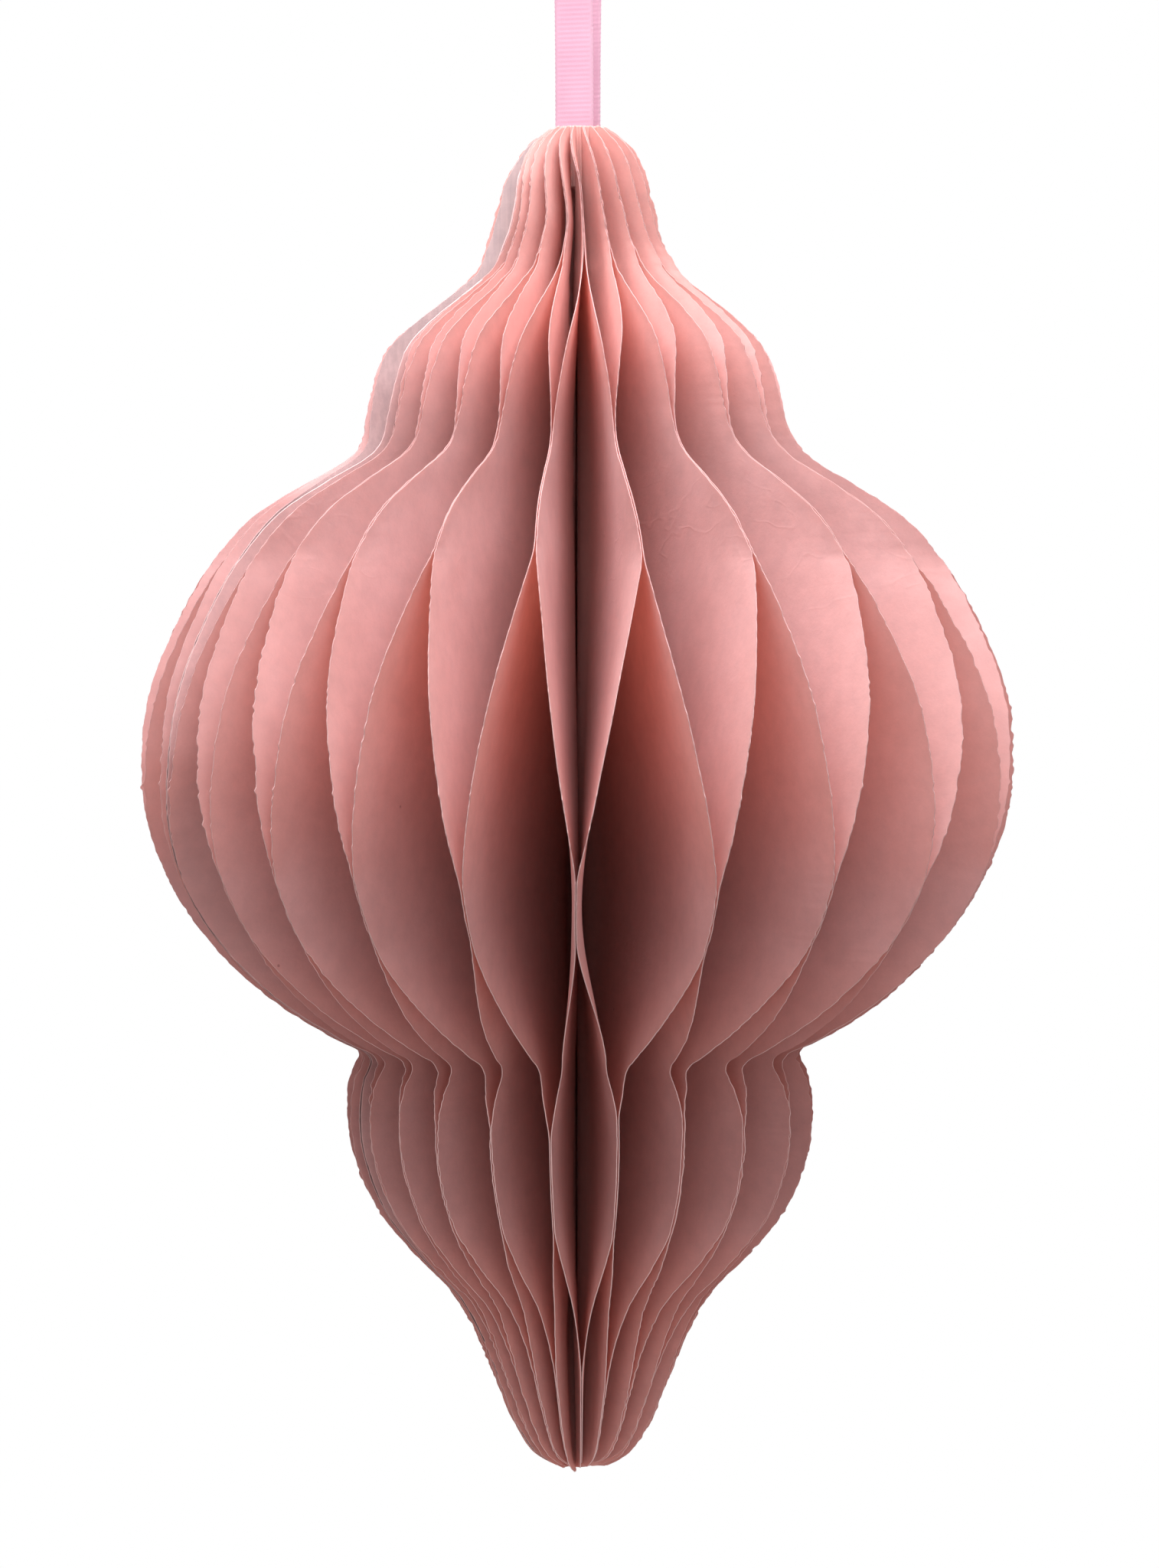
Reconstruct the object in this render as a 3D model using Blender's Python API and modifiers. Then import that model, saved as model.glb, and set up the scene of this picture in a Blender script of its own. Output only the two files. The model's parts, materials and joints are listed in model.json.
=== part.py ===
"""Honeycomb paper lantern that hangs from a ribbon loop.

Forty-four paper leaves share one turned outline and stand round a hollow spine. Each leaf turns about its own inner
edge, so the leaves close like a book from the full circle to a flat stack between the two card covers. The covers meet
in the seam, where two sticky dots hold them together. A ribbon loop goes down into a pocket in the crown, one run
on each side of the rolled paper core.

The frame is in metres with +Z up. The origin is the point that the lantern hangs from, inside the top of the loop.
"""
import math

import bmesh
import bpy
from mathutils import Matrix, Vector

MM = 0.001
COLLECTION = "paper_lantern"

# Driving dimensions, in metres and degrees
LEAF_COUNT = 44
BODY_HEIGHT = 209.6 * MM
CROWN_DEPTH = 48.0 * MM  # the crown's top below the hanging point
PAPER = 0.20 * MM
CARD = 0.40 * MM
GLUE_LINE = 0.05 * MM  # between a sheet and the plane that it is glued on
SEAM_GAP = 0.50 * MM  # between the two covers when the lantern is open
SPINE_RADIUS = 3.3 * MM  # circle of the leaves' inner edges
SEAM_AZIMUTH = 201.2  # direction of the seam, counter-clockwise from +X
SPREAD_UNEVENNESS = 13.8  # how far the leaves crowd towards the seam

# Ribbon
RIBBON_WIDTH = 6.0 * MM
RIBBON_THICKNESS = 0.3 * MM
RIBBON_TWIST = -16.0  # turns the loop so that the rear run shows beside the front one
RIBBON_STEPS = 5  # curve points between two points of the route
# Half of the loop's route, from the end in the crown up to the top: distance from the middle and height, in mm
RIBBON_ROUTE = [
    (2.05, -56.0),
    (2.05, -47.0),
    (2.2, -36.0),
    (2.7, -26.0),
    (4.0, -17.0),
    (5.4, -9.0),
    (4.3, -2.6),
    (0.0, 0.15),
]

# Crown pocket that the ribbon's ends sit in, and the core between them
POCKET_RADIUS = 4.4 * MM
POCKET_DEPTH = 9.5 * MM
CORE_RADIUS = 1.6 * MM
CORE_TOP = 0.6 * MM  # below the crown's top
CORE_BOTTOM = 204.0 * MM
CORE_SIDES = 16

# Sticky dots that close the seam
DOT_RADIUS = 4.5 * MM
DOT_THICKNESS = 0.30 * MM
DOT_SIDES = 20
# Name, depth below the crown's top and distance from the axis, in mm
DOTS = [("middle", 98.0, 58.0), ("lower", 156.0, 28.0)]

# The leaf's outline from the crown to the bottom tip: depth below the crown's top, radius, and kind of point, in mm
OUTLINE = [
    (0.0, 4.7, "corner"),
    (2.2, 7.8, "smooth"),
    (7.0, 10.9, "smooth"),
    (19.0, 14.5, "smooth"),
    (26.2, 20.6, "smooth"),
    (34.0, 29.4, "smooth"),
    (42.0, 32.4, "smooth"),
    (48.6, 34.2, "smooth"),
    (51.6, 36.9, "smooth"),
    (59.8, 50.6, "smooth"),
    (76.6, 62.8, "smooth"),
    (98.2, 68.5, "smooth"),
    (119.8, 62.6, "smooth"),
    (136.6, 47.3, "smooth"),
    (142.0, 38.3, "smooth"),
    (144.1, 35.1, "smooth"),
    (147.2, 35.8, "smooth"),
    (154.5, 36.6, "smooth"),
    (167.8, 32.6, "smooth"),
    (182.2, 20.3, "smooth"),
    (189.4, 16.4, "smooth"),
    (203.8, 10.4, "smooth"),
    (207.6, 7.6, "smooth"),
    (209.6, 4.2, "corner"),
]
OUTLINE_STEPS = 2
INNER_EDGE = 0.1 * MM  # from the hinge line to the sheet's inner edge
TIP_CUT = 0.6 * MM  # the sheet's slanted cut at the bottom, from the tip up to its inner corner
HANDLE_TYPES = {"corner": "VECTOR", "smooth": "AUTO"}

# Meshing
WELD_DISTANCE = 0.01 * MM
FLAT_ANGLE = 0.5  # faces that turn less than this, in degrees, become one
MARKER_SIZE = 5 * MM  # drawn size of the empties

PINK_PAPER = (0.78, 0.38, 0.38, 1.0)
PINK_CARD = (0.66, 0.40, 0.40, 1.0)
PINK_RIBBON = (0.93, 0.52, 0.73, 1.0)
CORE_PAPER = (0.55, 0.24, 0.23, 1.0)
DOT_WHITE = (0.85, 0.83, 0.80, 1.0)


def clear_scene():
    for old in list(bpy.data.objects):
        bpy.data.objects.remove(old)


def make_material(name, color, roughness):
    material = bpy.data.materials.new(name)
    material.use_nodes = True
    shader = material.node_tree.nodes["Principled BSDF"]
    shader.inputs["Base Color"].default_value = color
    shader.inputs["Roughness"].default_value = roughness
    shader.inputs["Metallic"].default_value = 0.0
    return material


def add_empty(name, collection, location, turn, parent=None):
    """An empty on a vertical axis; location and turn, in radians, are in its parent's frame."""
    empty = bpy.data.objects.new(name, None)
    empty.empty_display_size = MARKER_SIZE
    empty.location = location
    empty.rotation_euler = (0.0, 0.0, turn)
    empty.parent = parent
    collection.objects.link(empty)
    return empty


def add_piece(name, data, collection, parent, location, rotation, material):
    piece = bpy.data.objects.new(name, data)
    piece.location = location
    piece.rotation_euler = rotation
    piece.parent = parent
    if not data.materials:
        data.materials.append(None)
    piece.material_slots[0].link = "OBJECT"
    piece.material_slots[0].material = material
    collection.objects.link(piece)
    return piece


def leaf_angle(index):
    """Direction of glued plane number index, from the seam, in radians. The leaves crowd towards the seam."""
    turn = 2.0 * math.pi * index / LEAF_COUNT
    return turn - math.radians(SPREAD_UNEVENNESS) * math.sin(turn)


def hinge_point(index):
    """Where glued plane number index hinges on the spine circle. The first and the last leave room for the seam."""
    half_seam = GLUE_LINE + CARD + SEAM_GAP / 2
    start = math.asin(half_seam / SPINE_RADIUS)
    share = leaf_angle(index) / (2.0 * math.pi)
    angle = math.radians(SEAM_AZIMUTH) + start + (2.0 * math.pi - 2.0 * start) * share
    return Vector((SPINE_RADIUS * math.cos(angle), SPINE_RADIUS * math.sin(angle), 0.0))


def sheet_outline(name, thickness):
    """A flat sheet with the leaf's outline: local X runs out from the hinge line, local Y runs up."""
    curve = bpy.data.curves.new(name, "CURVE")
    curve.dimensions = "2D"
    curve.fill_mode = "BOTH"
    curve.extrude = thickness / 2
    curve.resolution_u = OUTLINE_STEPS
    points = [(-depth * MM, radius * MM - SPINE_RADIUS, kind) for depth, radius, kind in OUTLINE]
    points += [
        (-BODY_HEIGHT + TIP_CUT, INNER_EDGE, "corner"),
        (-POCKET_DEPTH, INNER_EDGE, "corner"),
        (-POCKET_DEPTH, POCKET_RADIUS - SPINE_RADIUS, "corner"),
    ]
    spline = curve.splines.new("BEZIER")
    spline.bezier_points.add(len(points) - 1)
    spline.use_cyclic_u = True
    for anchor, (height, out, kind) in zip(spline.bezier_points, points):
        anchor.co = (out, height, 0.0)
        anchor.handle_left_type = HANDLE_TYPES[kind]
        anchor.handle_right_type = HANDLE_TYPES[kind]
    return mesh_from_curve(curve, name)


def mesh_from_curve(curve, name):
    """The curve's solid as a mesh with its caps welded, so that copies can share it."""
    guide = bpy.data.objects.new(name + "_guide", curve)
    bpy.context.scene.collection.objects.link(guide)
    evaluated = guide.evaluated_get(bpy.context.evaluated_depsgraph_get())
    mesh = bpy.data.meshes.new_from_object(evaluated)
    mesh.name = name
    bpy.data.objects.remove(guide)
    weld(mesh)
    return mesh


def weld(mesh):
    """Joins double points, merges flat faces and turns every face outward."""
    shape = bmesh.new()
    shape.from_mesh(mesh)
    bmesh.ops.remove_doubles(shape, verts=shape.verts, dist=WELD_DISTANCE)
    bmesh.ops.dissolve_limit(
        shape, angle_limit=math.radians(FLAT_ANGLE), verts=shape.verts, edges=shape.edges
    )
    bmesh.ops.triangulate(shape, faces=shape.faces)
    bmesh.ops.recalc_face_normals(shape, faces=shape.faces)
    shape.to_mesh(mesh)
    shape.free()


def add_hinges(collection, top):
    """One empty on each hinge line, each the child of the one before, as the leaves are chained."""
    hinges = []
    seam = math.radians(SEAM_AZIMUTH)
    for index in range(LEAF_COUNT + 1):
        place = hinge_point(index) + Vector((0.0, 0.0, top))
        turn = seam + leaf_angle(index)
        world = Matrix.Translation(place) @ Matrix.Rotation(turn, 4, "Z")
        if hinges:
            local = previous.inverted() @ world
            local_turn = leaf_angle(index) - leaf_angle(index - 1)
            hinge = add_empty(f"hinge_{index:02d}", collection, local.translation, local_turn, hinges[-1])
        else:
            hinge = add_empty(f"hinge_{index:02d}", collection, world.translation, turn)
        hinges.append(hinge)
        previous = world
    return hinges


def add_leaves(collection, hinges, material):
    mesh = sheet_outline("leaf", PAPER)
    offset = GLUE_LINE + PAPER / 2
    upright = (math.radians(90), 0.0, 0.0)
    for number, hinge in enumerate(hinges[:LEAF_COUNT], start=1):
        add_piece(
            f"leaf_{number:02d}", mesh, collection, hinge, (0.0, offset, 0.0), upright, material
        )


def add_covers(collection, hinges, material):
    """The card covers lie back to back in the seam, each glued outside its end of the stack."""
    mesh = sheet_outline("cover", CARD)
    offset = GLUE_LINE + CARD / 2
    upright = (math.radians(90), 0.0, 0.0)
    add_piece("front_cover", mesh, collection, hinges[0], (0.0, -offset, 0.0), upright, material)
    add_piece("back_cover", mesh, collection, hinges[-1], (0.0, offset, 0.0), upright, material)


def add_dots(collection, last_hinge, material):
    face = GLUE_LINE + CARD
    for name, depth, radius in DOTS:
        bpy.ops.mesh.primitive_cylinder_add(
            vertices=DOT_SIDES, radius=DOT_RADIUS, depth=DOT_THICKNESS
        )
        disc = bpy.context.object
        mesh = disc.data
        bpy.data.objects.remove(disc)
        place = (radius * MM - SPINE_RADIUS, face + GLUE_LINE + DOT_THICKNESS / 2, -depth * MM)
        upright = (math.radians(90), 0.0, 0.0)
        add_piece(f"closure_dot_{name}", mesh, collection, last_hinge, place, upright, material)


def add_core(collection, material):
    length = CORE_BOTTOM - CORE_TOP
    bpy.ops.mesh.primitive_cylinder_add(vertices=CORE_SIDES, radius=CORE_RADIUS, depth=length)
    rod = bpy.context.object
    mesh = rod.data
    bpy.data.objects.remove(rod)
    place = (0.0, 0.0, -CROWN_DEPTH - CORE_TOP - length / 2)
    add_piece("spine_core", mesh, collection, None, place, (0.0, 0.0, 0.0), material)


def smooth_route(points, steps):
    """Catmull-Rom curve through the points."""
    route = []
    for i in range(len(points) - 1):
        before = points[max(i - 1, 0)]
        start, end = points[i], points[i + 1]
        after = points[min(i + 2, len(points) - 1)]
        for step in range(steps):
            t = step / steps
            route.append(
                0.5
                * (
                    2 * start
                    + (end - before) * t
                    + (2 * before - 5 * start + 4 * end - after) * t**2
                    + (3 * start - before - 3 * end + after) * t**3
                )
            )
    route.append(points[-1])
    return route


def add_ribbon(collection, material):
    """A flat strip that follows the loop: local X runs across the loop and local Y runs up."""
    rising = [Vector((-side * MM, height * MM, 0.0)) for side, height in RIBBON_ROUTE]
    falling = [Vector((-point.x, point.y, 0.0)) for point in reversed(rising[:-1])]
    route = smooth_route(rising + falling, RIBBON_STEPS)
    curve = bpy.data.curves.new("ribbon_loop", "CURVE")
    curve.dimensions = "2D"
    curve.fill_mode = "NONE"
    curve.extrude = RIBBON_WIDTH / 2
    spline = curve.splines.new("POLY")
    spline.points.add(len(route) - 1)
    for anchor, point in zip(spline.points, route):
        anchor.co = (point.x, point.y, 0.0, 1.0)
    mount = add_empty(
        "hang_point", collection, (0.0, 0.0, 0.0), math.radians(RIBBON_TWIST)
    )
    across = (math.radians(90), 0.0, math.radians(90))
    ribbon = add_piece(
        "ribbon_loop", curve, collection, mount, (0.0, 0.0, 0.0), across, material
    )
    solidify = ribbon.modifiers.new("thickness", "SOLIDIFY")
    solidify.thickness = RIBBON_THICKNESS
    solidify.offset = 0.0


def main():
    clear_scene()
    collection = bpy.data.collections.new(COLLECTION)
    bpy.context.scene.collection.children.link(collection)
    hinges = add_hinges(collection, -CROWN_DEPTH)
    add_leaves(collection, hinges, make_material("leaf_paper", PINK_PAPER, 0.8))
    add_covers(collection, hinges, make_material("cover_card", PINK_CARD, 0.75))
    add_dots(collection, hinges[-1], make_material("sticky_dot", DOT_WHITE, 0.5))
    add_core(collection, make_material("core_paper", CORE_PAPER, 0.85))
    add_ribbon(collection, make_material("satin_ribbon", PINK_RIBBON, 0.45))


main()
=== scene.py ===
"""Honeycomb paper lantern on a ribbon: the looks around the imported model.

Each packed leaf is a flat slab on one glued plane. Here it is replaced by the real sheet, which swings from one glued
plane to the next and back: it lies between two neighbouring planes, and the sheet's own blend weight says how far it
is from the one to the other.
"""
import json
import math

import bpy
import numpy as np
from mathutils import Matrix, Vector

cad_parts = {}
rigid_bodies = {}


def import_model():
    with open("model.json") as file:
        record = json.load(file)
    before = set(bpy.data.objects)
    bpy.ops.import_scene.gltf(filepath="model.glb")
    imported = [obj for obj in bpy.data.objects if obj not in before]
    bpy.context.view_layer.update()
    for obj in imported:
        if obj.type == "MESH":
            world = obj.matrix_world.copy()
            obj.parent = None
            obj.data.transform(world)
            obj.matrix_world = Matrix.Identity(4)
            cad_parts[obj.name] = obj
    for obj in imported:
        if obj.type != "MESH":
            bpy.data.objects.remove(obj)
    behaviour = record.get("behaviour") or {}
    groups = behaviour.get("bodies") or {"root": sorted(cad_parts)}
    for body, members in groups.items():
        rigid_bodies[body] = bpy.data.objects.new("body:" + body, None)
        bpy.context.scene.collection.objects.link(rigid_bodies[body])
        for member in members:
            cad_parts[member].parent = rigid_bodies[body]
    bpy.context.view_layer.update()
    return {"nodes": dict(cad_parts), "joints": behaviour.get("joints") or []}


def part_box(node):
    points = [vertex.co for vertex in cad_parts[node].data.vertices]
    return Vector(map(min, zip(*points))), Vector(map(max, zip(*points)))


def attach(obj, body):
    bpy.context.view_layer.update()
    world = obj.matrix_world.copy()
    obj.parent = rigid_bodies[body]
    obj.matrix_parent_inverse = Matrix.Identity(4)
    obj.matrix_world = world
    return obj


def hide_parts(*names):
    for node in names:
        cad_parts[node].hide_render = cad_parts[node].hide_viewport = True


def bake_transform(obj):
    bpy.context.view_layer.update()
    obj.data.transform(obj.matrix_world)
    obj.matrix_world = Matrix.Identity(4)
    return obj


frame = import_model()

MM = 0.001
SEED = 20


# ---------------------------------------------------------------- what the frame says

JOINTS = frame["joints"]
BODIES = [JOINTS[0]["parent"]] + [joint["child"] for joint in JOINTS]
LEAVES = [f"leaf_{number:02d}" for number in range(1, len(JOINTS) + 1)]
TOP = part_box(LEAVES[0])[1].z
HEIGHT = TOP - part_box(LEAVES[0])[0].z


def spine_circle():
    """Radius and centre of the circle that the hinge lines stand on, from the joints."""
    points = np.array([joint["pos_m"][:2] for joint in JOINTS])
    system = np.c_[2 * points, np.ones(len(points))]
    middle_x, middle_y, rest = np.linalg.lstsq(system, (points**2).sum(1), rcond=None)[0]
    return math.sqrt(rest + middle_x**2 + middle_y**2), np.array([middle_x, middle_y])


SPINE_RADIUS, AXIS = spine_circle()


def plane_of_slab(node):
    """Direction of a packed slab as an angle, its distance out along that, and its height, point by point."""
    points = np.array([vertex.co for vertex in frame["nodes"][node].data.vertices], float)
    flat = points[:, :2] - AXIS
    middle = flat.mean(0)
    _, _, axes = np.linalg.svd(flat - middle)
    out = axes[0] if axes[0] @ middle > 0 else -axes[0]
    return math.atan2(out[1], out[0]), flat @ out, points[:, 2] - TOP


# Direction of each glued plane: leaf number k + 1 is glued on plane k, and the back cover on the last plane
PLANE_ANGLES = np.unwrap([plane_of_slab(leaf)[0] for leaf in LEAVES] + [plane_of_slab("back_cover")[0]])
HINGES = np.array([joint["pos_m"][:2] for joint in JOINTS]) - AXIS
HINGE_ANGLES = np.unwrap(np.arctan2(HINGES[:, 1], HINGES[:, 0]))
HINGE_ANGLES += 2 * math.pi * round((PLANE_ANGLES[-1] - HINGE_ANGLES[-1]) / (2 * math.pi))
# The first plane has no joint of its own: its hinge line mirrors the last one's over the seam
HINGE_ANGLES = np.r_[PLANE_ANGLES[0] + PLANE_ANGLES[-1] - HINGE_ANGLES[-1], HINGE_ANGLES]
STEPS = np.diff(PLANE_ANGLES)


def outline_of_slab(node):
    """The slab's outer edge as distance out by depth: its outer corners, from the crown to the bottom."""
    _, out, height = plane_of_slab(node)
    mesh = frame["nodes"][node].data
    edges = np.array([edge.vertices for edge in mesh.edges])
    start, end = -height[edges[:, 0]], -height[edges[:, 1]]
    outer = []
    for depth, distance in sorted({(round(-h, 6), round(o, 5)) for h, o in zip(height, out)}):
        crossing = (np.minimum(start, end) <= depth + 1e-7) & (np.maximum(start, end) >= depth - 1e-7)
        crossing &= np.abs(end - start) > 1e-6
        share = (depth - start[crossing]) / (end - start)[crossing]
        ends = out[edges[crossing]]
        furthest = (ends[:, 0] + (ends[:, 1] - ends[:, 0]) * share).max()
        if distance > furthest - 0.05 * MM:
            outer.append((depth, distance))
    return np.array(outer)


class Outline:
    """Smooth curve of radius by depth through the slab's outer corners."""

    def __init__(self, corners):
        self.depth, self.radius = corners[:, 0], corners[:, 1]
        span = np.diff(self.depth)
        steps = np.diff(self.radius) / span
        middle = (steps[1:] * span[:-1] + steps[:-1] * span[1:]) / (span[:-1] + span[1:])
        self.slope = np.r_[steps[0], middle, steps[-1]]

    def __call__(self, depth):
        i = np.clip(np.searchsorted(self.depth, depth, side="right") - 1, 0, len(self.depth) - 2)
        span = self.depth[i + 1] - self.depth[i]
        t = np.clip((depth - self.depth[i]) / span, 0, 1)
        return (
            (2 * t**3 - 3 * t**2 + 1) * self.radius[i]
            + (t**3 - 2 * t**2 + t) * span * self.slope[i]
            + (3 * t**2 - 2 * t**3) * self.radius[i + 1]
            + (t**3 - t**2) * span * self.slope[i + 1]
        )


OUTLINE = Outline(outline_of_slab(LEAVES[10]))


# ---------------------------------------------------------------- driving sizes of the looks

SHEET = 0.14 * MM  # thickness of one paper sheet
GLUE = 0.03 * MM  # between two glued sheets
CARD = 0.30 * MM  # thickness of a cover
INNER_RADIUS = 2.1 * MM  # the sheets reach inside the circle of the hinge lines, up to the spine core
POCKET_RADIUS = SPINE_RADIUS + 0.8 * MM  # the crown's pocket, which the ribbon goes down into
POCKET_DEPTH = 9.5 * MM
ROW_STEP = 0.27 * MM

# Bands where sheets are glued: depths below the crown's top, and how far these vary from plane to plane, in mm.
# Planes with an even number have the first kind, planes with an odd number the second.
EVEN_BANDS = [(-20.0, 20.0, 0.9), (114.4, 124.0, 1.2), (194.0, 230.0, 3.0)]
ODD_BANDS = [(50.0, 67.6, 0.8), (151.4, 169.0, 2.0)]
# How a sheet swings from one band to the next: slope at the start and at the end, against a straight line
SWINGS = [(1.3, 0.15), (1.4, 1.0), (0.35, 1.05), (0.6, 0.7)]
FACE_SOFTENING = 24.0  # over how many mm of depth a sheet's swing is averaged, well inside its outer edge
EDGE_SOFTENING = 3.0  # and at the outer edge itself
RIPPLE = 0.03  # waves across a free sheet, as a share of its step to the next plane
LIFT = 0.09 * MM  # how far the outer edges of two glued sheets stand apart
COMPRESSION = 0.5  # the most that neighbouring planes may be pushed together by the bends below

# The glued planes are not quite flat: how far each is bent round the axis, in degrees, by depth in mm (columns)
# and plane number (first in each row). The crown is turned against the lobe, which opens the seam there.
BEND_DEPTHS = [0, 5, 9, 15, 20, 27, 36, 47, 57, 67, 85, 98, 121, 156, 210]
BENDS = [
    (0, -6.0, 6.0, 13.0, 15.5, 12.5, 8.0, 7.5, 7.0, 6.0, 5.0, 5.0, 4.5, -0.7, 0.5, 0.0),
    (2, -10.0, -1.5, 6.0, 9.8, 7.4, 5.0, 4.8, 4.4, 3.8, 3.0, 2.5, 2.3, 1.5, 0.3, 0.0),
    (4, -11.5, -4.5, 1.5, 5.2, 3.9, 3.1, 2.8, 2.6, 2.0, 1.8, 1.5, 1.5, 0.7, 0.2, 0.0),
    (6, -10.0, -4.0, 1.4, 6.8, 4.7, 3.4, 2.7, 2.1, 1.5, 1.5, 1.0, 1.0, 0.9, 0.7, 0.3),
    (8, -14.0, -4.0, 2.0, 7.6, 5.9, 4.0, 2.2, 1.1, 1.1, 1.5, 0.8, 0.5, 0.5, 1.3, 0.5),
    (10, -15.0, -7.0, 0.0, 2.0, 2.8, 2.3, 1.4, 0.9, 1.1, 1.6, 0.5, 0.0, -0.1, 1.2, 0.5),
    (12, -12.0, -4.6, -1.2, 1.0, 2.8, 2.5, 1.5, 0.9, 1.1, 1.8, 1.5, 1.5, 1.9, 0.3, 0.3),
    (14, -10.0, -5.3, -2.8, 0.8, 3.0, 2.6, 1.3, 0.5, 0.7, 1.0, 1.0, 1.0, 1.0, -0.2, 0.0),
    (16, -11.0, -5.5, -3.0, 0.5, 3.2, 2.9, 1.3, 0.2, 0.2, 0.4, 0.3, 0.3, 0.3, -0.4, 0.0),
    (30, -8.0, -3.0, -1.0, 0.5, 1.3, 1.2, 0.7, 0.2, 0.0, 0.0, 0.0, 0.0, 0.0, 0.0, 0.0),
    (35, -6.0, -3.0, -3.0, -2.5, -2.5, -2.5, -2.5, -1.3, 0.5, 0.3, 0.2, 0.2, 0.0, 0.0, 0.0),
    (39, -6.0, -6.0, -7.0, -7.5, -7.5, -7.5, -7.0, -3.4, 1.4, 1.0, 0.7, 0.5, -0.5, 0.2, 0.0),
    (42, -9.0, -11.0, -12.5, -13.0, -13.0, -12.0, -9.3, -3.2, 3.1, 4.5, 4.5, 4.0, 0.0, 0.4, 0.0),
    (44, -12.0, -14.0, -16.0, -17.0, -16.0, -13.5, -11.0, -4.5, 4.6, 5.45, 5.45, 4.95, -0.5, 0.6, 0.0),
]
WANDER = 0.7  # random part of the bends, in degrees
BEND_REACH = 9.0 * MM  # a plane comes into its bend over this distance from the inner edge, or over 0.6 of its width
TWIST = math.radians(-14.0)  # how far the inner edges are turned against the outer ones, as the sheets curve in
# The body leans a little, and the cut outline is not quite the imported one: offsets in mm by depth in mm
LEANS = [(0, 0.1), (4, 0.1), (9, -0.35), (18, -0.42), (22, 0.1), (28, 0.1), (36, -0.4), (46, -0.45), (51, 0.3)]
LEANS += [(60, 0.0), (130, 0.0), (170, 0.6), (210, 0.65)]
TRIMS = [(0, -0.3), (19, -0.2), (22.6, -0.95), (27, -0.2), (48, -0.2), (51, -0.4), (61, -0.9), (75, -0.45)]
TRIMS += [(90, -0.45), (104, -0.25), (120, -0.25), (133, -0.65), (141, -0.7), (144, -0.4), (147, 0.0), (165, 0.0)]
TRIMS += [(174, 0.35), (182, 0.0), (210, -0.2)]
NICKS = [(101.5, 0.40), (90.1, 0.2), (94.7, 0.16), (106.6, 0.2)]  # where the sheets were held: depth and size in mm


# ---------------------------------------------------------------- noise


def smooth_noise(rng, count, size):
    """A smooth random function on 0 to 1 with count waves."""
    knots = rng.uniform(-1, 1, int(count) + 3)
    place = np.linspace(0, int(count), size)
    i = place.astype(int)
    t = place - i
    t = t * t * (3 - 2 * t)
    return knots[i] * (1 - t) + knots[i + 1] * t


# ---------------------------------------------------------------- materials


def new_material(name):
    material = bpy.data.materials.new(name)
    material.use_nodes = True
    return material, material.node_tree, material.node_tree.nodes["Principled BSDF"]


def add_node(tree, kind, links=(), **values):
    """A node; values set its attributes or input defaults, links join (input, output socket)."""
    node = tree.nodes.new(kind)
    for key, value in values.items():
        if hasattr(node, key):
            setattr(node, key, value)
        else:
            node.inputs[key.replace("_", " ")].default_value = value
    for socket, source in links:
        tree.links.new(source, node.inputs[socket])
    return node


def ramp(tree, factor, stops):
    node = add_node(tree, "ShaderNodeValToRGB", [("Fac", factor)])
    elements = node.color_ramp.elements
    while len(elements) < len(stops):
        elements.new(0.5)
    for element, (position, color) in zip(elements, stops):
        element.position = position
        element.color = (*color, 1.0)
    return node.outputs["Color"]


def noise(tree, vector, scale, detail=3.0, roughness=0.6):
    node = add_node(
        tree, "ShaderNodeTexNoise", [("Vector", vector)], Scale=scale, Detail=detail, Roughness=roughness
    )
    return node.outputs["Fac"]


def mix_color(tree, factor, first, second, blend="MIX"):
    node = tree.nodes.new("ShaderNodeMix")
    node.data_type = "RGBA"
    node.blend_type = blend
    if isinstance(factor, (int, float)):
        node.inputs["Factor"].default_value = factor
    else:
        tree.links.new(factor, node.inputs["Factor"])
    for name, value in (("A", first), ("B", second)):
        socket = next(s for s in node.inputs if s.name == name and s.type == "RGBA")
        if isinstance(value, tuple):
            socket.default_value = (*value, 1.0)
        else:
            tree.links.new(value, socket)
    return [s for s in node.outputs if s.type == "RGBA"][0]


def bump(tree, height, distance, strength=1.0, normal=None):
    links = [("Height", height)] + ([("Normal", normal)] if normal else [])
    node = add_node(tree, "ShaderNodeBump", links, Distance=distance, Strength=strength)
    return node.outputs["Normal"]


THROUGH = (0.92, 0.53, 0.44)  # colour of the light that comes through a sheet


def creases(tree, place):
    """Sparse fine wrinkles: ridges of a stretched noise, most of them where the widest glue bands end."""
    stretch = add_node(tree, "ShaderNodeMapping", [("Vector", place)], Scale=(1.0, 1.0, 2.2))
    folds = noise(tree, stretch.outputs[0], 75.0, 2.0, 0.5)
    ridge = ramp(tree, folds, [(0.47, (0, 0, 0)), (0.495, (1, 1, 1)), (0.52, (0, 0, 0))])
    patches = ramp(tree, noise(tree, place, 38.0, 1.0), [(0.50, (0, 0, 0)), (0.62, (1, 1, 1))])
    height = add_node(tree, "ShaderNodeSeparateXYZ", [("Vector", place)]).outputs["Z"]
    zone = add_node(tree, "ShaderNodeMapRange", [("Value", height)], From_Min=TOP - 0.125, From_Max=TOP - 0.04)
    band = ramp(tree, zone.outputs[0], [(0.55, (0.15, 0.15, 0.15)), (0.72, (1, 1, 1)), (0.95, (0.15, 0.15, 0.15))])
    return mix_color(tree, 1.0, mix_color(tree, 1.0, ridge, patches, "MULTIPLY"), band, "MULTIPLY")


def specks(tree, place):
    """1 but for a few dark specks: the spots round the points of a sparse lattice that a surface happens to pass."""
    points = add_node(tree, "ShaderNodeTexVoronoi", [("Vector", place)], Scale=60.0)
    return ramp(tree, points.outputs["Distance"], [(0.012, (0.45, 0.40, 0.40)), (0.016, (1.0, 1.0, 1.0))])


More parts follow.
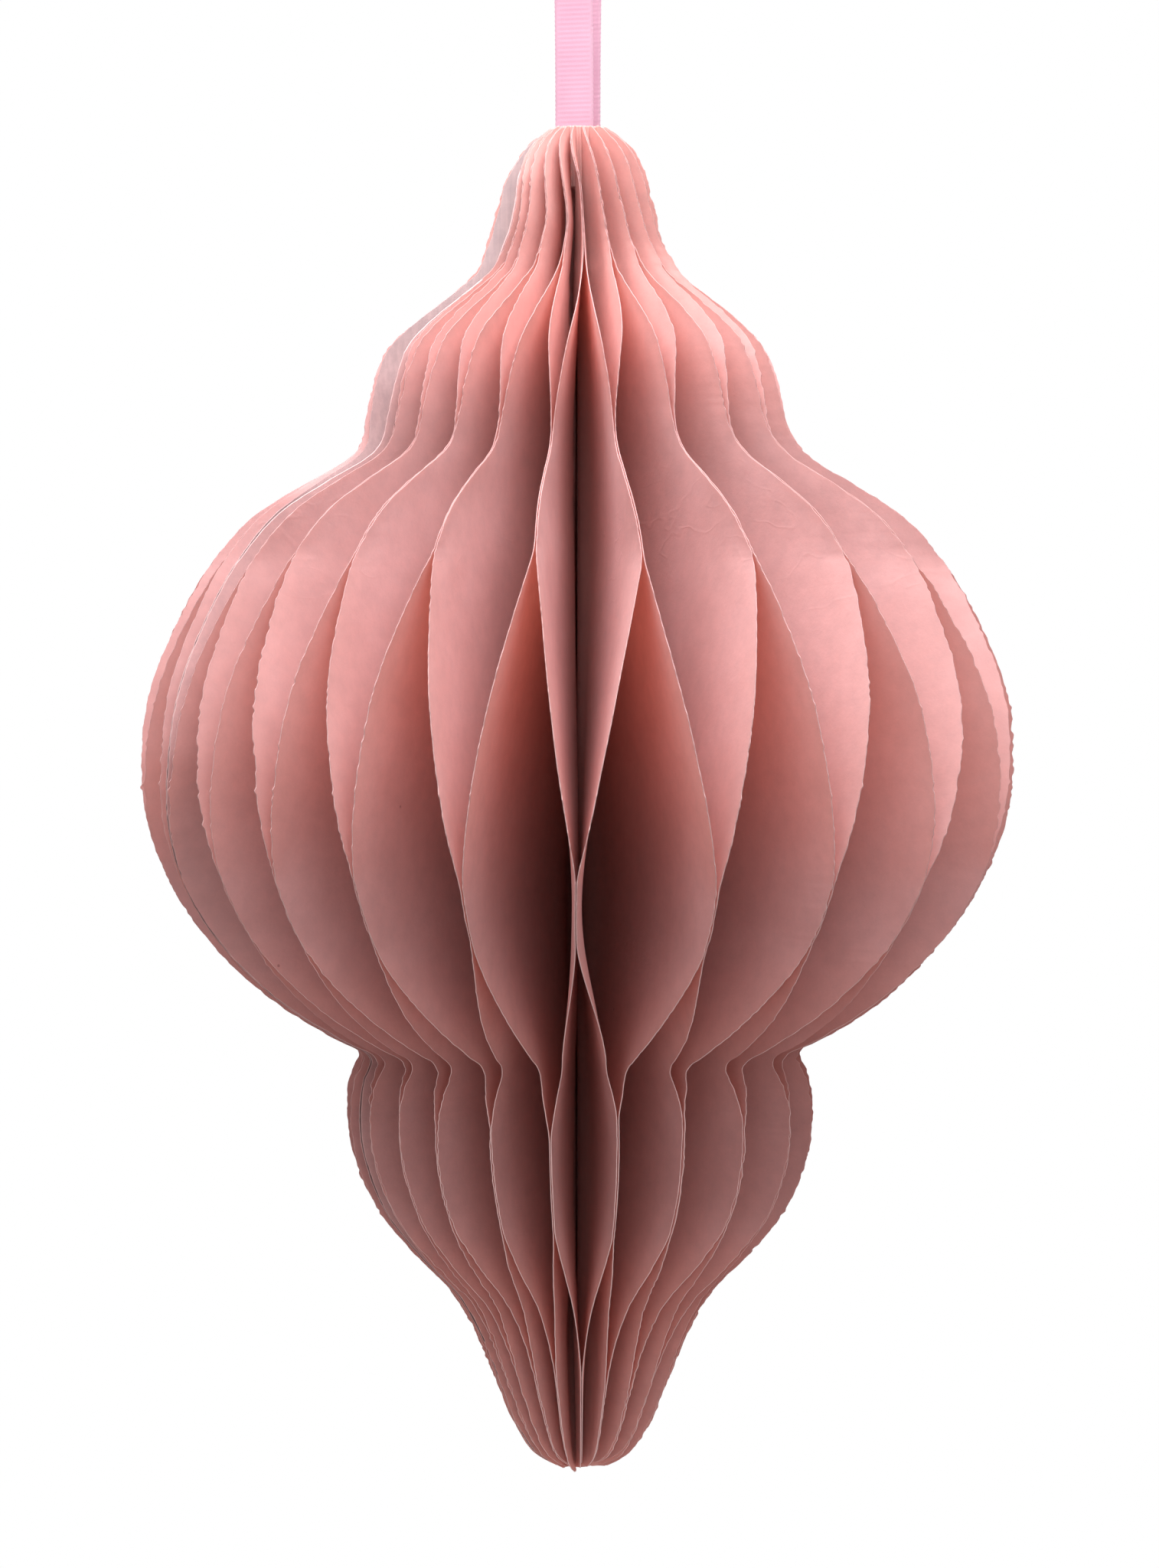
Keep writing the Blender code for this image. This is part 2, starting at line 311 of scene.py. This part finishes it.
def streaks(tree, place):
    """Faint upright streaks of the card."""
    stretch = add_node(tree, "ShaderNodeMapping", [("Vector", place)], Scale=(1.0, 1.0, 0.04))
    grain = noise(tree, stretch.outputs[0], 1500.0, 2.0)
    return ramp(tree, grain, [(0.36, (0.84, 0.85, 0.86)), (0.64, (0.97, 0.97, 0.97))])


def paper_material(name, base, dark, light, glow=0.0, painted_depth_shading=None, inside=None, detail=None):
    """Coloured paper: soft clouds of colour, fine fibres and a dull surface.

    glow is the share of light let through. painted_depth_shading is painted light or painted shade by height: another
    colour that it turns to between two depths, as (colour, from, to). inside is painted bounce light: the same
    between two distances from the axis. detail is a function that gives one more pattern to darken it with.
    """
    material, tree, shader = new_material(name)
    place = add_node(tree, "ShaderNodeTexCoord").outputs["Object"]
    clouds = noise(tree, place, 60.0, 4.0, 0.55)
    fibres = noise(tree, place, 2600.0, 3.0, 0.7)
    grit = noise(tree, place, 900.0, 2.0, 0.5)
    tone = ramp(tree, clouds, [(0.3, dark), (0.5, base), (0.72, light)])
    # Painted light or painted shade: the colour turns to another one by height
    if painted_depth_shading:
        lower, start, end = painted_depth_shading
        height = add_node(tree, "ShaderNodeSeparateXYZ", [("Vector", place)]).outputs["Z"]
        limits = {"From_Min": TOP - start, "From_Max": TOP - end}
        share = add_node(tree, "ShaderNodeMapRange", [("Value", height)], **limits)
        tone = mix_color(tree, share.outputs["Result"], tone, lower)
    # Painted bounce light: a lighter, warmer colour towards the axis
    if inside:
        painted_bounce_tone, start, end = inside
        flat = add_node(tree, "ShaderNodeMapping", [("Vector", place)], Scale=(1.0, 1.0, 0.0))
        length = add_node(tree, "ShaderNodeVectorMath", [(0, flat.outputs[0])], operation="LENGTH")
        distance = length.outputs["Value"]
        share = add_node(tree, "ShaderNodeMapRange", [("Value", distance)], From_Min=start, From_Max=end)
        tone = mix_color(tree, share.outputs["Result"], tone, painted_bounce_tone)
    grain = ramp(tree, fibres, [(0.3, (0.90, 0.90, 0.90)), (0.7, (1.0, 1.0, 1.0))])
    patches = noise(tree, place, 420.0, 4.0, 0.65)
    mottle = ramp(tree, patches, [(0.32, (0.90, 0.91, 0.92)), (0.62, (1.0, 1.0, 1.0))])
    color = mix_color(tree, 1.0, mix_color(tree, 0.6, tone, grain, "MULTIPLY"), mottle, "MULTIPLY")
    if detail:
        color = mix_color(tree, 1.0, color, detail(tree, place), "MULTIPLY")
    tree.links.new(color, shader.inputs["Base Color"])
    rough = add_node(tree, "ShaderNodeMapRange", [("Value", grit)], To_Min=0.72, To_Max=0.92)
    tree.links.new(rough.outputs["Result"], shader.inputs["Roughness"])
    shader.inputs["Specular IOR Level"].default_value = 0.45
    relief = bump(tree, fibres, 0.00003, 0.5)
    normal = bump(tree, grit, 0.00006, 0.4, relief)
    if glow:
        normal = bump(tree, creases(tree, place), 0.00006, 0.35, normal)
    tree.links.new(normal, shader.inputs["Normal"])
    if glow:
        through = add_node(tree, "ShaderNodeBsdfTranslucent", [("Normal", normal)])
        through.inputs["Color"].default_value = (*THROUGH, 1.0)
        sheet = add_node(tree, "ShaderNodeMixShader", Fac=glow)
        tree.links.new(shader.outputs[0], sheet.inputs[1])
        tree.links.new(through.outputs[0], sheet.inputs[2])
        tree.links.new(sheet.outputs[0], tree.nodes["Material Output"].inputs["Surface"])
    return material


# Painted bounce light: the leaf paper is painted lighter and warmer towards the axis, between 34 and 8 mm out, where
# the light would go from one sheet to the next many times
PAINTED_BOUNCE_LIGHT = ((0.95, 0.555, 0.515), 34 * MM, 8 * MM)
PAPER = paper_material(
    "leaf_paper",
    (0.80, 0.50, 0.49),
    (0.75, 0.46, 0.45),
    (0.84, 0.545, 0.54),
    glow=0.40,
    inside=PAINTED_BOUNCE_LIGHT,
    detail=specks,
)
# The leaves' cut edges: a darker copy of the leaf paper, painted shade against the light that they catch face on,
# which turns lighter from 70 to 150 mm down, painted light on the lower edges
PAPER_EDGE_PAINTED_SHADING = paper_material(
    "leaf_edge_painted_shading",
    (0.46, 0.24, 0.23),
    (0.40, 0.205, 0.195),
    (0.52, 0.285, 0.275),
    painted_depth_shading=((0.84, 0.60, 0.58), 70 * MM, 150 * MM),
)


# ---------------------------------------------------------------- leaves


ROWS = np.linspace(0, HEIGHT, int(HEIGHT / ROW_STEP))
DEPTH_MM = ROWS / MM
COLUMNS = np.r_[0.0, 0.03, 0.06, 0.10, 0.15, 0.22, 0.32, 0.45, 0.60, 0.75, 0.87, 0.95, 1.0, 1.0]
RIM = 0.06 * MM  # width of the last column, so that the cut edge keeps its corner
INNER_EDGE = np.where(ROWS < POCKET_DEPTH, POCKET_RADIUS, INNER_RADIUS)


def across(edge):
    """Distances from the axis of a sheet's columns, from the inner edge to its outer edge."""
    inner = INNER_EDGE[:, None]
    distance = inner + (edge[:, None] - RIM - inner) * COLUMNS[None, :]
    distance[:, -1] = edge
    return distance


def soften(values, width_mm):
    """The rows' values, averaged over a soft window."""
    reach = int(width_mm * MM / ROW_STEP)
    window = np.hanning(2 * reach + 3)
    padded = np.pad(values, reach + 1, mode="edge")
    return np.convolve(padded, window / window.sum(), mode="valid")


def plane_bends():
    """How far each glued plane is bent round the axis, in radians: planes by rows."""
    rng = np.random.default_rng(SEED + 7)
    table = np.array(BENDS)
    bends = []
    for plane in range(len(BODIES)):
        at_depths = [np.interp(plane, table[:, 0], column) for column in table[:, 1:].T]
        smooth = soften(np.interp(DEPTH_MM, BEND_DEPTHS, at_depths), 4.0)
        inside = min(1.0, plane / 3, (len(BODIES) - 1 - plane) / 3)
        bends.append(smooth + inside * WANDER * smooth_noise(rng, 5, len(ROWS)))
    bends = np.radians(bends)
    closest = -COMPRESSION * STEPS[:, None]
    growth = np.maximum(np.diff(bends, axis=0), closest)
    half = len(bends) // 2
    for plane in range(half + 1, len(bends)):
        bends[plane] = bends[plane - 1] + growth[plane - 1]
    for plane in range(half - 1, -1, -1):
        bends[plane] = bends[plane + 1] - growth[plane]
    return bends


PLANE_BENDS = plane_bends()


def band_limits(rng, bands):
    return [(low + rng.uniform(-1, 1) * vary, high + rng.uniform(-1, 1) * vary) for low, high, vary in bands]


PLANE_RNG = np.random.default_rng(SEED)
PLANE_BANDS = [
    band_limits(PLANE_RNG, EVEN_BANDS if plane % 2 == 0 else ODD_BANDS) for plane in range(len(BODIES))
]


def swing(near_bands, far_bands, rng):
    """0 where the sheet is glued to the near plane, 1 where it is glued to the far one, in between elsewhere."""
    stops = sorted([(low, high, 0.0) for low, high in near_bands] + [(low, high, 1.0) for low, high in far_bands])
    weight = np.zeros_like(DEPTH_MM)
    for low, high, value in stops:
        weight[(DEPTH_MM >= low) & (DEPTH_MM <= high)] = value
    for (_, high, value), (low, _, following), slopes in zip(stops, stops[1:], SWINGS):
        start, end = np.array(slopes) * rng.uniform(0.85, 1.15, 2)
        t = np.clip((DEPTH_MM - high) / (low - high), 0, 1)
        shape = (t**3 - 2 * t**2 + t) * start + (3 * t**2 - 2 * t**3) + (t**3 - t**2) * end
        moving = (DEPTH_MM > high) & (DEPTH_MM < low)
        weight[moving] = (value + (following - value) * shape)[moving]
    return weight


def by_depth(table):
    """Values in metres along the rows, from (depth, value) pairs in mm."""
    depths, values = zip(*table)
    return np.interp(DEPTH_MM, depths, values) * MM


def waves(rng, length, size):
    """Random waves along the rows, of about this length and size in mm."""
    return size * MM * smooth_noise(rng, HEIGHT / (length * MM), len(ROWS))


def outer_edge(number, rng):
    """The sheet's own cut edge: the outline with small waves, a ragged cut and the nicks where it was held."""
    ragged = waves(rng, 0.6, 0.22) * (0.6 + 0.4 * smooth_noise(rng, 20, len(ROWS)))
    edge = OUTLINE(ROWS) + by_depth(TRIMS) + ragged
    for length, size in ((1.3, 0.08), (4, 0.06), (14, 0.14)):
        edge = edge + waves(rng, length, size)
    for depth, size in NICKS:
        middle = depth + rng.uniform(-1, 1) * 0.9
        edge += size * rng.uniform(0.3, 1) * MM * np.exp(-(((DEPTH_MM - middle) / 0.3) ** 2))
    return edge + by_depth(LEANS) * math.cos(PLANE_ANGLES[number])


def own_depths(rng):
    """The rows' depths on one sheet, whose crown and bottom end a little above or below those of the next."""
    top, bottom = rng.uniform(-0.15, 0.3), rng.uniform(-1.2, 0.45)
    end = HEIGHT / MM
    return ROWS + by_depth([(0, top), (6, 0), (end - 14, 0), (end - 4, 0.3 * bottom), (end, bottom)])


def bent(near, along, depth, distance, offset):
    """Points and blend weights of a sheet between plane number near and the next.

    along is 0 on the near plane and 1 on the far one, distance is measured from the axis, and offset is square to
    the sheet. The planes' bends go into the weights.
    """
    step = STEPS[near]
    width = OUTLINE(depth) - INNER_RADIUS
    reach = np.clip((distance - INNER_RADIUS) / np.minimum(BEND_REACH, 0.6 * width), 0, 1)
    reach = reach * reach * (3 - 2 * reach)
    low = np.interp(depth, ROWS, PLANE_BENDS[near]) * reach + TWIST * (1 - reach)
    high = np.interp(depth, ROWS, PLANE_BENDS[near + 1]) * reach + TWIST * (1 - reach)
    share = (low + along * (step + high - low)) / step
    hinge = HINGE_ANGLES[near] + (HINGE_ANGLES[near + 1] - HINGE_ANGLES[near]) * share
    turn = PLANE_ANGLES[near] + step * share
    outward = distance - SPINE_RADIUS
    x = SPINE_RADIUS * np.cos(hinge) + outward * np.cos(turn) - offset * np.sin(turn) + AXIS[0]
    y = SPINE_RADIUS * np.sin(hinge) + outward * np.sin(turn) + offset * np.cos(turn) + AXIS[1]
    z = np.broadcast_to(TOP - depth, x.shape)
    return np.stack([x, y, z], -1), share


def leaf_grid(number):
    """Points and weights of sheet number (from 1), a grid of rows by columns."""
    rng = np.random.default_rng(SEED + 100 * number)
    near, far = number - 1, number
    weight = swing(PLANE_BANDS[near], PLANE_BANDS[far], rng)
    edge = outer_edge(number, rng)
    distance = across(edge)
    ripple = RIPPLE * smooth_noise(rng, 7, len(ROWS)) * 4 * weight * (1 - weight)
    lift = LIFT * (0.55 + 0.45 * smooth_noise(rng, 18, len(ROWS))) * np.minimum(1, edge / (28 * MM))
    lift = lift / (edge * STEPS[near])
    sharp = np.clip((COLUMNS[None, :] - 0.90) / 0.10, 0, 1)
    inner_along, outer_along = soften(weight, FACE_SOFTENING), soften(weight, EDGE_SOFTENING)
    along = inner_along[:, None] * (1 - sharp) + outer_along[:, None] * sharp
    along = along + ripple[:, None] * COLUMNS[None, :] ** 2
    held = lift[:, None] * COLUMNS[None, :] ** 3
    along = np.clip(along, held, 1 - held)
    offset = (SHEET + GLUE) / 2 * (1 - 2 * along)
    return bent(near, along, own_depths(rng)[:, None], distance, offset)


def film_grid(number):
    """The glued strip that joins the inner edges of the two planes of a sheet."""
    along = np.linspace(0, 1, 3)[None, :] * np.ones((len(ROWS), 1))
    distance = (INNER_EDGE[:, None] - 0.6 * SHEET) * np.ones_like(along)
    return bent(number - 1, along, ROWS[:, None], distance, np.zeros_like(along))


def grid_mesh(name, grids):
    """One mesh of several grids of points, each rows by columns."""
    quads, first = [], 0
    for grid in grids:
        rows, columns = grid.shape[:2]
        index = first + np.arange(rows * columns).reshape(rows, columns)
        quads.append(np.stack([index[:-1, :-1], index[1:, :-1], index[1:, 1:], index[:-1, 1:]], -1).reshape(-1, 4))
        first += rows * columns
    quads = np.concatenate(quads)
    points = np.concatenate([grid.reshape(-1, 3) for grid in grids])
    mesh = bpy.data.meshes.new(name)
    mesh.vertices.add(len(points))
    mesh.vertices.foreach_set("co", points.astype(np.float32).ravel())
    mesh.loops.add(quads.size)
    mesh.loops.foreach_set("vertex_index", quads.astype(np.int32).ravel())
    mesh.polygons.add(len(quads))
    mesh.polygons.foreach_set("loop_start", np.arange(0, quads.size, 4, dtype=np.int32))
    mesh.polygons.foreach_set("loop_total", np.full(len(quads), 4, np.int32))
    mesh.update(calc_edges=True)
    mesh.validate()
    mesh.shade_smooth()
    return mesh


def add_object(name, data, *materials):
    piece = bpy.data.objects.new(name, data)
    for material in materials:
        data.materials.append(material)
    bpy.context.scene.collection.objects.link(piece)
    return piece


def thicken(piece, thickness, rim_slot=1, far_slot=0):
    """Gives a sheet its thickness; the slots are the materials of its rim and of the side behind the plane."""
    solid = piece.modifiers.new("thickness", "SOLIDIFY")
    solid.thickness = thickness
    solid.offset = 0.0
    solid.material_offset_rim = rim_slot
    solid.material_offset = far_slot
    solid.use_even_offset = False


def between_bodies(piece, node):
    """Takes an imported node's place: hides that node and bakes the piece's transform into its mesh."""
    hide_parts(node)
    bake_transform(piece)


def add_bent(name, node, grids, thickness, materials):
    """A sheet of paper or card shaped between two planes; grids are (points, weights).

    The materials are those of its face, its rim and, where there is a third, its side behind the plane.
    """
    sheet = add_object(name, grid_mesh(name + "_mesh", [points for points, weights in grids]), *materials)
    thicken(sheet, thickness, far_slot=2 if len(materials) == 3 else 0)
    between_bodies(sheet, node)


for leaf_number in range(1, len(LEAVES) + 1):
    leaf_grids = [leaf_grid(leaf_number), film_grid(leaf_number)]
    leaf_name = f"paper_leaf_{leaf_number:02d}"
    node = LEAVES[leaf_number - 1]
    add_bent(leaf_name, node, leaf_grids, SHEET, (PAPER, PAPER_EDGE_PAINTED_SHADING))


# ---------------------------------------------------------------- covers, dots and core

# Outer face of the covers: the card's own colour and streaks, painted darker from 20 to 42 mm down and below, painted
# shade on the shoulder where the card turns up to the light
CARD_FACE_PAINTED_SHADE = paper_material(
    "cover_card",
    (0.60, 0.43, 0.425),
    (0.55, 0.39, 0.385),
    (0.65, 0.47, 0.465),
    painted_depth_shading=((0.36, 0.21, 0.205), 20 * MM, 42 * MM),
    detail=streaks,
)
LINING = paper_material(
    "cover_lining", (0.67, 0.40, 0.39), (0.62, 0.365, 0.355), (0.71, 0.44, 0.43), detail=specks
)
CARD_EDGE = paper_material("cover_edge", (0.64, 0.40, 0.39), (0.56, 0.34, 0.33), (0.72, 0.47, 0.46))
CORE = paper_material("core_paper", (0.62, 0.30, 0.29), (0.55, 0.25, 0.24), (0.68, 0.36, 0.35))
DOT = paper_material("sticky_dot", (0.86, 0.84, 0.80), (0.80, 0.78, 0.74), (0.90, 0.88, 0.85))


def cover_grid(near, along, side):
    """A cover on its plane; side is -1 before the plane and 1 behind it."""
    rng = np.random.default_rng(SEED + 5 + near)
    edge = OUTLINE(ROWS) + by_depth(TRIMS) + by_depth(LEANS) * math.cos(PLANE_ANGLES[near])
    edge += waves(rng, 0.8, 0.05) + waves(rng, 3, 0.05) - 0.15 * MM
    distance = across(edge)
    offset = np.full_like(distance, side * (GLUE + CARD / 2))
    return bent(near, np.full_like(distance, along), ROWS[:, None], distance, offset)


LAST = len(LEAVES) - 1
# Each cover is bare card outside and faced with the leaf paper inside
COVERS = [
    ("front_cover", 0, 0.0, -1, (CARD_FACE_PAINTED_SHADE, CARD_EDGE, LINING)),
    ("back_cover", LAST, 1.0, 1, (LINING, CARD_EDGE, CARD_FACE_PAINTED_SHADE)),
]
for cover_name, cover_near, cover_along, cover_side, cover_materials in COVERS:
    cover = [cover_grid(cover_near, cover_along, cover_side)]
    add_bent("card_" + cover_name, cover_name, cover, CARD, cover_materials)


def add_dot(node):
    """A sticky dot on the back cover's outer face, bent with it and as thick as the gap to the front cover."""
    _, out, height = plane_of_slab(node)
    depth, distance = -(height.max() + height.min()) / 2, (out.max() + out.min()) / 2
    radius = (height.max() - height.min()) / 2
    angles = np.linspace(0, 2 * math.pi, 36, endpoint=False)
    rim_depth, rim_distance = depth + radius * np.cos(angles), distance + radius * np.sin(angles)
    back = bent(LAST, np.ones_like(angles), rim_depth, rim_distance, np.full_like(angles, GLUE + CARD))[0]
    front = bent(0, np.zeros_like(angles), rim_depth, rim_distance, np.full_like(angles, -GLUE - CARD))[0]
    thickness = float(np.linalg.norm(front - back, axis=1).min())
    offset = np.full_like(angles, GLUE + CARD + thickness / 2)
    points, weights = bent(LAST, np.ones_like(angles), rim_depth, rim_distance, offset)
    mesh = bpy.data.meshes.new(node + "_mesh")
    mesh.from_pydata([tuple(point) for point in points], [], [list(range(len(points)))])
    dot = add_object("sticky_" + node, mesh, DOT)
    thicken(dot, thickness, 0)
    between_bodies(dot, node)


add_dot("closure_dot_middle")
add_dot("closure_dot_lower")

core = frame["nodes"]["spine_core"].data
core.materials.clear()
core.materials.append(CORE)


# ---------------------------------------------------------------- ribbon

RIBBON_WIDTH = 6.0 * MM
RIBBON_THICKNESS = 0.3 * MM
RIBBON_TWIST = math.radians(-16.0)
RIB_PITCH = 0.72 * MM
RIB_HEIGHT = 0.013 * MM
PICOT = 0.06 * MM  # how far the woven edge stands out at each rib
SELVEDGE = 0.42  # where the ribs run out into the woven edge, as a share of the width from the middle
# One side of the loop from its end in the crown to its top: distance from the axis and height, in mm
RIBBON_ROUTE = [
    (2.05, -56.0),
    (2.05, -47.0),
    (2.2, -36.0),
    (2.7, -26.0),
    (4.0, -17.0),
    (5.4, -9.0),
    (4.3, -2.6),
    (0.0, 0.15),
]


def smooth_route(points, steps):
    """Catmull-Rom curve through the points."""
    route = []
    for i in range(len(points) - 1):
        before, start, end = points[max(i - 1, 0)], points[i], points[i + 1]
        after = points[min(i + 2, len(points) - 1)]
        for step in range(steps):
            t = step / steps
            route.append(
                0.5
                * (
                    2 * start
                    + (end - before) * t
                    + (2 * before - 5 * start + 4 * end - after) * t**2
                    + (3 * start - before - 3 * end + after) * t**3
                )
            )
    route.append(points[-1])
    return np.array(route)


def even_points(route, spacing):
    """The route at even steps along its length."""
    run = np.r_[0, np.cumsum(np.linalg.norm(np.diff(route, axis=0), axis=1))]
    count = int(run[-1] / spacing)
    at = np.linspace(0, run[-1], count)
    return np.stack([np.interp(at, run, route[:, k]) for k in range(3)], -1), run[-1]


def ribbon_material():
    """Woven ribbon: pale pink, satin sheen, darker between its ribs."""
    material, tree, shader = new_material("ribbon")
    place = add_node(tree, "ShaderNodeTexCoord").outputs["Object"]
    threads = noise(tree, place, 5200.0, 2.0, 0.6)
    clouds = noise(tree, place, 160.0, 3.0, 0.5)
    tone = ramp(tree, clouds, [(0.3, (0.70, 0.42, 0.52)), (0.7, (0.76, 0.48, 0.58))])
    grain = ramp(tree, threads, [(0.3, (0.86, 0.86, 0.86)), (0.7, (1.0, 1.0, 1.0))])
    tree.links.new(mix_color(tree, 0.7, tone, grain, "MULTIPLY"), shader.inputs["Base Color"])
    shader.inputs["Roughness"].default_value = 0.5
    shader.inputs["Sheen Weight"].default_value = 0.4
    normal = bump(tree, threads, 0.00004, 0.5)
    tree.links.new(normal, shader.inputs["Normal"])
    through = add_node(tree, "ShaderNodeBsdfTranslucent", [("Normal", normal)])
    through.inputs["Color"].default_value = (1.0, 0.78, 0.89, 1.0)
    woven = add_node(tree, "ShaderNodeMixShader", Fac=0.45)
    tree.links.new(shader.outputs[0], woven.inputs[1])
    tree.links.new(through.outputs[0], woven.inputs[2])
    tree.links.new(woven.outputs[0], tree.nodes["Material Output"].inputs["Surface"])
    return material


def add_ribbon():
    rising = [np.array([0.0, -side * MM, height * MM]) for side, height in RIBBON_ROUTE]
    falling = [np.array([0.0, -point[1], point[2]]) for point in reversed(rising[:-1])]
    route = smooth_route(rising + falling, 12)
    centre, length = even_points(route, 0.16 * MM)
    along = np.gradient(centre, axis=0)
    along /= np.linalg.norm(along, axis=1)[:, None]
    sideways = np.array([1.0, 0.0, 0.0])
    face = np.cross(along, sideways)
    run = np.linspace(0, length, len(centre))
    rib = RIB_HEIGHT * np.cos(2 * math.pi * run / RIB_PITCH)
    columns = np.linspace(-0.5, 0.5, 15)
    picot = PICOT * np.maximum(0, np.cos(2 * math.pi * run / RIB_PITCH))
    points = np.zeros((len(centre), len(columns), 3))
    for i, place in enumerate(columns):
        edge = max(0.0, abs(place) - SELVEDGE) / (0.5 - SELVEDGE)
        side = place * RIBBON_WIDTH + math.copysign(1, place) * picot * edge
        lift = rib * (1 - edge)
        points[:, i] = centre + sideways * side[:, None] + face * lift[:, None]
    cos, sin = math.cos(RIBBON_TWIST), math.sin(RIBBON_TWIST)
    twist = np.array([[cos, -sin, 0], [sin, cos, 0], [0, 0, 1]])
    points = points @ twist.T
    centre = centre @ twist.T
    ribbon = add_object("hanging_ribbon", grid_mesh("ribbon", [points]), ribbon_material())
    thicken(ribbon, RIBBON_THICKNESS, 0)
    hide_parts("ribbon_loop")
    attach(ribbon, BODIES[0])


add_ribbon()


# ---------------------------------------------------------------- stage, light and camera


def add_stage():
    bpy.ops.mesh.primitive_circle_add(
        vertices=96, radius=3.0, fill_type="NGON", location=(0, 0, TOP - HEIGHT - 0.75)
    )
    floor = bpy.context.object
    floor.name = "floor"
    material, tree, shader = new_material("pale_floor")
    place = add_node(tree, "ShaderNodeTexCoord").outputs["Object"]
    tone = ramp(tree, noise(tree, place, 4.0), [(0.3, (0.80, 0.80, 0.80)), (0.7, (0.84, 0.84, 0.84))])
    tree.links.new(tone, shader.inputs["Base Color"])
    shader.inputs["Roughness"].default_value = 0.7
    floor.data.materials.append(material)


def add_light(name, location, target, size, power, color):
    data = bpy.data.lights.new(name, "AREA")
    data.shape = "DISK"
    data.size = size
    data.energy = power
    data.color = color
    light = bpy.data.objects.new(name, data)
    light.location = location
    light.rotation_euler = (Vector(target) - Vector(location)).to_track_quat("-Z", "Y").to_euler()
    bpy.context.scene.collection.objects.link(light)


def add_world():
    """White behind the object for the camera, and a soft, slightly warm light on it that is weaker from below."""
    world = bpy.data.worlds.new("studio")
    bpy.context.scene.world = world
    world.use_nodes = True
    tree = world.node_tree
    tree.nodes.clear()
    direction = add_node(tree, "ShaderNodeTexCoord").outputs["Generated"]
    split = add_node(tree, "ShaderNodeSeparateXYZ", [("Vector", direction)])
    sky = ramp(tree, split.outputs["Z"], [(0.0, (0.35, 0.31, 0.30)), (1.0, (0.98, 0.83, 0.80))])
    fill = add_node(tree, "ShaderNodeBackground", [("Color", sky)], Strength=0.86)
    white = add_node(tree, "ShaderNodeBackground", Strength=1.0)
    white.inputs["Color"].default_value = (1.0, 1.0, 1.0, 1.0)
    rays = add_node(tree, "ShaderNodeLightPath")
    mix = tree.nodes.new("ShaderNodeMixShader")
    tree.links.new(rays.outputs["Is Camera Ray"], mix.inputs[0])
    tree.links.new(fill.outputs[0], mix.inputs[1])
    tree.links.new(white.outputs[0], mix.inputs[2])
    output = tree.nodes.new("ShaderNodeOutputWorld")
    tree.links.new(mix.outputs[0], output.inputs["Surface"])


def add_camera():
    """A long lens at the height of the big lobe's upper part, looking slightly down."""
    data = bpy.data.cameras.new("camera")
    data.sensor_fit = "VERTICAL"
    data.sensor_height = 24.0
    data.lens = 59.9
    camera = bpy.data.objects.new("camera", data)
    camera.location = (0.24 * MM, -0.6134, TOP - 0.0814)
    aim = Vector((0.24 * MM, 0.0, TOP - 0.1022))
    camera.rotation_euler = (aim - camera.location).to_track_quat("-Z", "Y").to_euler()
    bpy.context.scene.collection.objects.link(camera)
    bpy.context.scene.camera = camera


bpy.context.scene.view_settings.view_transform = "Standard"
add_stage()
body_middle = (0.0, 0.0, TOP - HEIGHT / 2)
add_light("key", (0.06, -0.48, 0.62), body_middle, 0.9, 4.2, (0.95, 1.0, 1.03))
add_light("top", (-0.02, -0.06, 0.21), body_middle, 0.5, 4.7, (0.95, 1.0, 1.03))
add_light("front", (0.0, -0.80, -0.10), body_middle, 0.7, 0.30, (0.97, 1.0, 1.02))
add_world()
add_camera()
